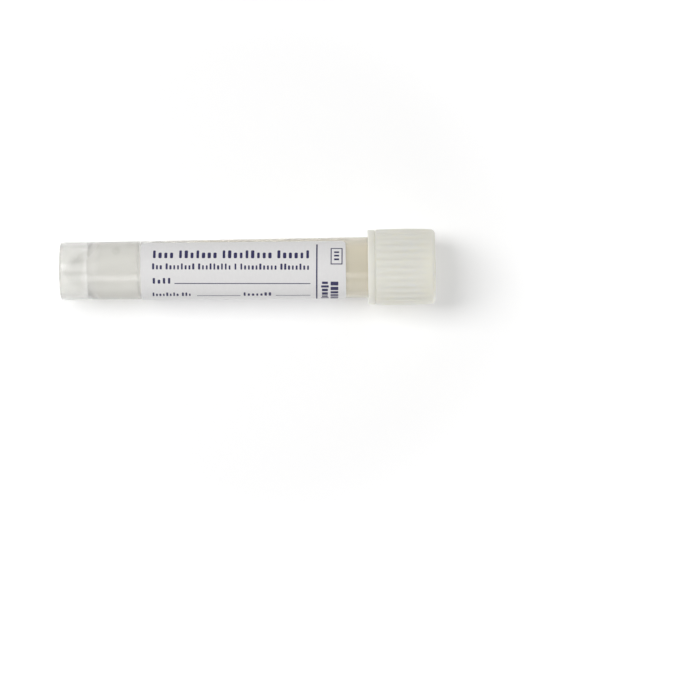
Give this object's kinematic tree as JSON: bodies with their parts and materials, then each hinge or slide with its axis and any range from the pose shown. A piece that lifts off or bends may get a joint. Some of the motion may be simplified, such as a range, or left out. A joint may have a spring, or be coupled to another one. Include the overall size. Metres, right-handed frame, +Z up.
{
  "type": "specimen swab tube",
  "caption": "Clear self-standing specimen tube with a pointed floor in a skirt, a ribbed screw cap with a plug seal, a wrapped label and a little liquid medium.",
  "frame": {"origin": "centre of the foot ring, on the surface that the tube stands on", "axes": "+Z up the tube's axis towards the cap, -Y towards the middle of the label's printed side, which is skewed by 0.9 degrees"},
  "size_m": [0.0168, 0.0168, 0.083],
  "materials": {
    "clear_plastic": "gloss",
    "cap_plastic": "satin",
    "label_paper": "matte",
    "liquid": "gloss"
  },
  "bodies": {
    "tube_body": {"tube": "clear_plastic", "label": "label_paper", "medium": "liquid"},
    "cap_body": {"screw_cap": "cap_plastic"}
  },
  "joints": [
    {"name": "cap_lift", "type": "slide", "parent": "tube_body", "child": "cap_body", "axis": [0, 0, 1], "range_m": [0, 0.03]}
  ]
}
